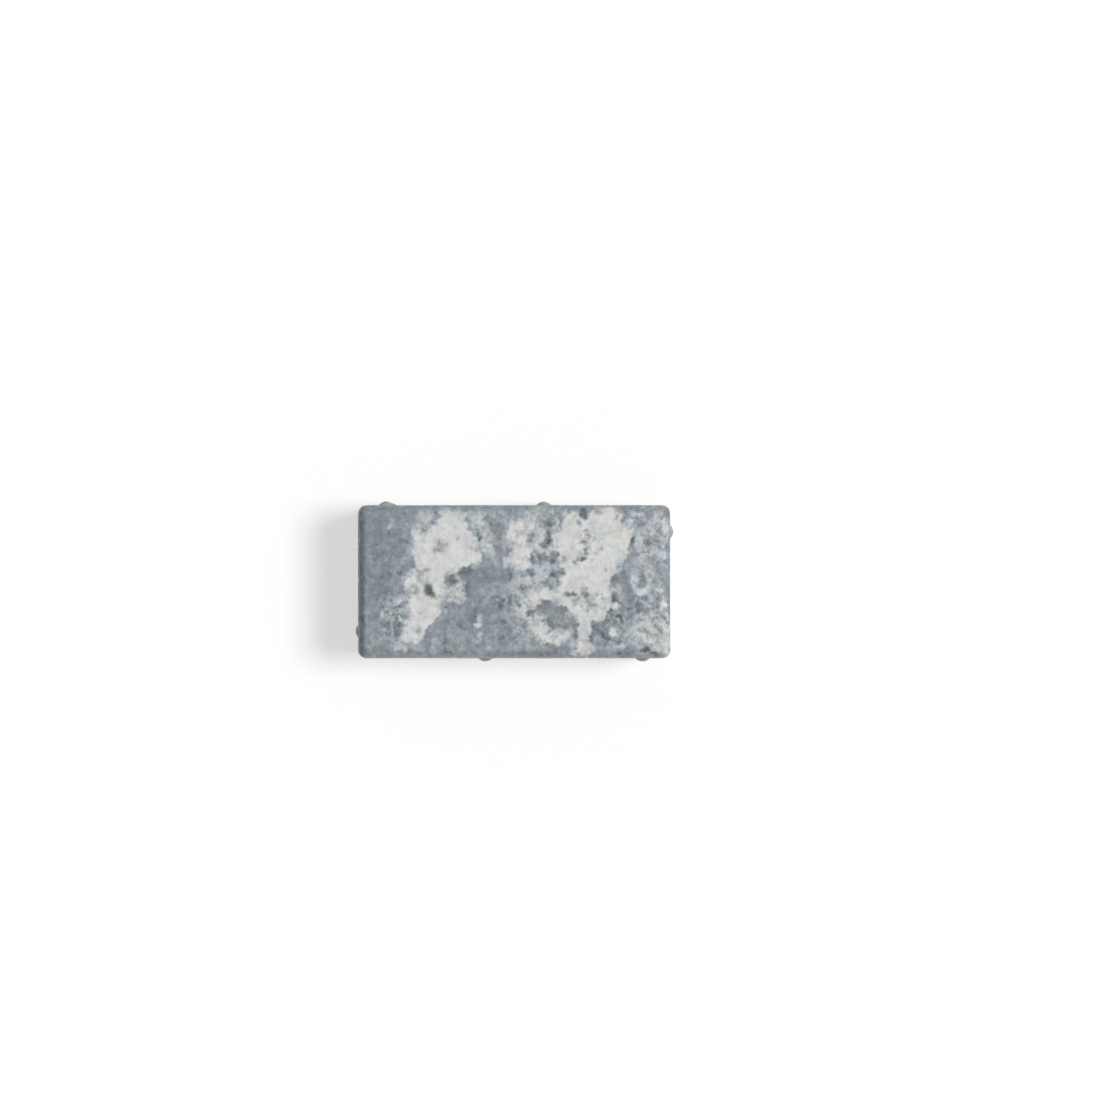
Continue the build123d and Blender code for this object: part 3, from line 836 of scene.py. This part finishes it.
def concreteMaterial():
    material = bpy.data.materials.new("mottled_concrete")
    material.use_nodes = True
    tree = material.node_tree
    tree.nodes.clear()
    where = vectorCalc(tree, "SCALE", tree.nodes.new("ShaderNodeTexCoord").outputs["Object"])
    where.node.inputs["Scale"].default_value = 1 / mm
    level = addNode(tree, "ShaderNodeSeparateXYZ", {}, {"Vector": where}).outputs["Z"]

    face = faceConcrete(tree, where)
    wear = ramp(tree, noise(tree, where, concrete["wornSize"], 3, 0.6, 64), *concrete["wornEdge"])
    worn = calc(tree, "MULTIPLY", readField(tree, "edgeNear"), wear)
    face = wornOrShaded(tree, face, worn, concrete["wornStain"], concrete["wornColour"])

    seamWaves = noise(tree, where, concrete["seamSize"], 5, 0.7, 62)
    seam = addTimes(tree, level, concrete["seamWander"], seamWaves)
    seamLevel = height - concrete["faceDepth"] + concrete["seamWander"] / 2
    blend = concrete["seamBlend"]
    isFace = ramp(tree, seam, seamLevel - blend, seamLevel + blend)
    isCore = calc(tree, "SUBTRACT", 1.0, isFace)
    whole = blendColours(tree, isFace, coreConcrete(tree, where), face)

    # painted shade in the pits
    whole = wornOrShaded(tree, whole, readField(tree, "pitShare"), concrete["pitShadeStrength"], concrete["pitShadeColour"])
    # painted shade in the core's pores
    pores = ramp(tree, noise(tree, where, concrete["poreSize"], 1, 0.5, 66), *concrete["poreEdge"])
    pores = calc(tree, "MULTIPLY", pores, isCore)
    whole = wornOrShaded(tree, whole, pores, concrete["poreShadeStrength"], concrete["poreShadeColour"])

    grain = noise(tree, where, concrete["grainSize"], 3, 0.6, 70)
    sand = calc(tree, "MULTIPLY", noise(tree, where, concrete["sandSize"], 2, 0.6, 71), isCore)
    bumps = addTimes(tree, grain, concrete["sandBump"], calc(tree, "SUBTRACT", sand, pores))
    shader = addNode(tree, "ShaderNodeBsdfPrincipled", {},
                     {"Base Color": whole, "Specular IOR Level": concrete["shine"]})
    plug(tree, shader.inputs["Roughness"], ramp(tree, grain, 0.2, 0.8, *concrete["roughness"]))
    bump = addNode(tree, "ShaderNodeBump", {},
                   {"Height": bumps, "Distance": concrete["bumpDepth"] * mm, "Strength": 1.0})
    plug(tree, shader.inputs["Normal"], bump.outputs[0])
    output = tree.nodes.new("ShaderNodeOutputMaterial")
    plug(tree, output.inputs["Surface"], shader.outputs[0])
    return material


# The stone.


def edgeNearness(points):
    # 1 on the upper arris and the lower edge, falling to 0 where the wear ends
    x, y, z = np.abs(points).T
    radius = stone["cornerRadius"]
    beyondX = np.maximum(x - length / 2 + radius, 0)
    beyondY = np.maximum(y - width / 2 + radius, 0)
    inset = np.where(beyondX * beyondY > 0, radius - np.hypot(beyondX, beyondY),
                     np.minimum(length / 2 - x, width / 2 - y))
    fromEdge = np.minimum(np.abs(z - height + stone["bevelDrop"]), z)
    return np.clip(1 - np.hypot(np.maximum(inset, 0), fromEdge) / stone["wearReach"], 0, 1)


def makeStone():
    mesh, points = stoneBlank()
    print("stone: blank of", len(mesh.vertices), "points")
    for name, values in zip(("faceTone", "crumble", "cream"), facePattern(points)):
        storeField(mesh, name, values)
    storeField(mesh, "edgeNear", edgeNearness(points))
    blank = bpy.data.objects.new("stoneBlank", mesh)
    bpy.context.scene.collection.objects.link(blank)
    modifier = blank.modifiers.new("relief", "NODES")
    modifier.node_group = reliefTree()
    for name, value in relief.items():
        setInput(modifier, name, value)
    setInput(modifier, "Material", concreteMaterial())

    shaped = blank.evaluated_get(bpy.context.evaluated_depsgraph_get())
    finished = bpy.data.meshes.new_from_object(shaped)
    finished.name = "paving_stone_surface"
    piece = bpy.data.objects.new("paving_stone_surface", finished)
    bpy.context.scene.collection.objects.link(piece)
    bpy.data.objects.remove(blank)
    print("stone: finished with", sum(len(p.vertices) - 2 for p in finished.polygons), "triangles")
    return piece


# The studio.

studio = {
    "skyStrength": 0.3,
    "keyStrength": 2.66,
    "keyDirection": (0.56, 0.07, 0.825),  # towards the lamp
    "keyAngle": 22,  # the lamp's apparent size, in degrees
    "floorSize": 8.0,  # metres
    "floorBounce": (0.78, 0.78, 0.78, 1.0),
    "floorSeen": (1.0, 1.0, 1.0, 1.0),
    "floorGlow": 0.55,  # lightens the floor's shadow for the camera
    "cameraPlace": (0.0290, 0.0137, 1.56),  # metres, straight above the walking surface
    "sensor": 36.0,
    "lens": 76.5,
    "clipEnd": 20,
}


def seenDirectly(tree):
    path = tree.nodes.new("ShaderNodeLightPath").outputs
    seen = calc(tree, "MAXIMUM", path["Is Camera Ray"], path["Is Glossy Ray"])
    return calc(tree, "MAXIMUM", seen, path["Is Transmission Ray"])


def makeFloor():
    half = studio["floorSize"] / 2
    mesh = bpy.data.meshes.new("studio_floor")
    corners = [(-half, -half, 0), (half, -half, 0), (half, half, 0), (-half, half, 0)]
    mesh.from_pydata(corners, [], [(0, 1, 2, 3)])
    floor = bpy.data.objects.new("studio_floor", mesh)
    bpy.context.scene.collection.objects.link(floor)
    material = bpy.data.materials.new("white_floor")
    material.use_nodes = True
    tree = material.node_tree
    tree.nodes.clear()
    seen = seenDirectly(tree)
    tone = blendColours(tree, seen, studio["floorBounce"], studio["floorSeen"])
    lit = addNode(tree, "ShaderNodeBsdfDiffuse", {}, {"Color": tone})
    glow = addNode(tree, "ShaderNodeEmission", {}, {"Color": studio["floorSeen"], "Strength": 1.0})
    glowing = calc(tree, "MULTIPLY", seen, studio["floorGlow"])
    shader = addNode(tree, "ShaderNodeMixShader", {}, {0: glowing, 1: lit.outputs[0], 2: glow.outputs[0]})
    plug(tree, tree.nodes.new("ShaderNodeOutputMaterial").inputs["Surface"], shader.outputs[0])
    mesh.materials.append(material)


def makeLight():
    world = bpy.data.worlds.new("studio_world")
    bpy.context.scene.world = world
    world.use_nodes = True
    tree = world.node_tree
    tree.nodes.clear()
    strength = calc(tree, "MAXIMUM", seenDirectly(tree), studio["skyStrength"])
    sky = addNode(tree, "ShaderNodeBackground", {}, {"Color": (1, 1, 1, 1), "Strength": strength})
    plug(tree, tree.nodes.new("ShaderNodeOutputWorld").inputs["Surface"], sky.outputs[0])

    lamp = bpy.data.lights.new("key_light", "SUN")
    lamp.energy = studio["keyStrength"]
    lamp.angle = math.radians(studio["keyAngle"])
    key = bpy.data.objects.new("key_light", lamp)
    key.rotation_euler = Vector(studio["keyDirection"]).to_track_quat("Z", "Y").to_euler()
    bpy.context.scene.collection.objects.link(key)


def makeCamera():
    data = bpy.data.cameras.new("camera")
    data.sensor_width = studio["sensor"]
    data.lens = studio["lens"]
    data.clip_end = studio["clipEnd"]
    camera = bpy.data.objects.new("camera", data)
    camera.location = studio["cameraPlace"]
    bpy.context.scene.collection.objects.link(camera)
    bpy.context.scene.camera = camera


bpy.context.scene.view_settings.view_transform = "Standard"
makeCamera()
makeLight()
makeFloor()
print("studio: camera, light and floor are in place")

piece = makeStone()
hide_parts(nodeName)
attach(piece, "root")
print("stone: riding on the frame")
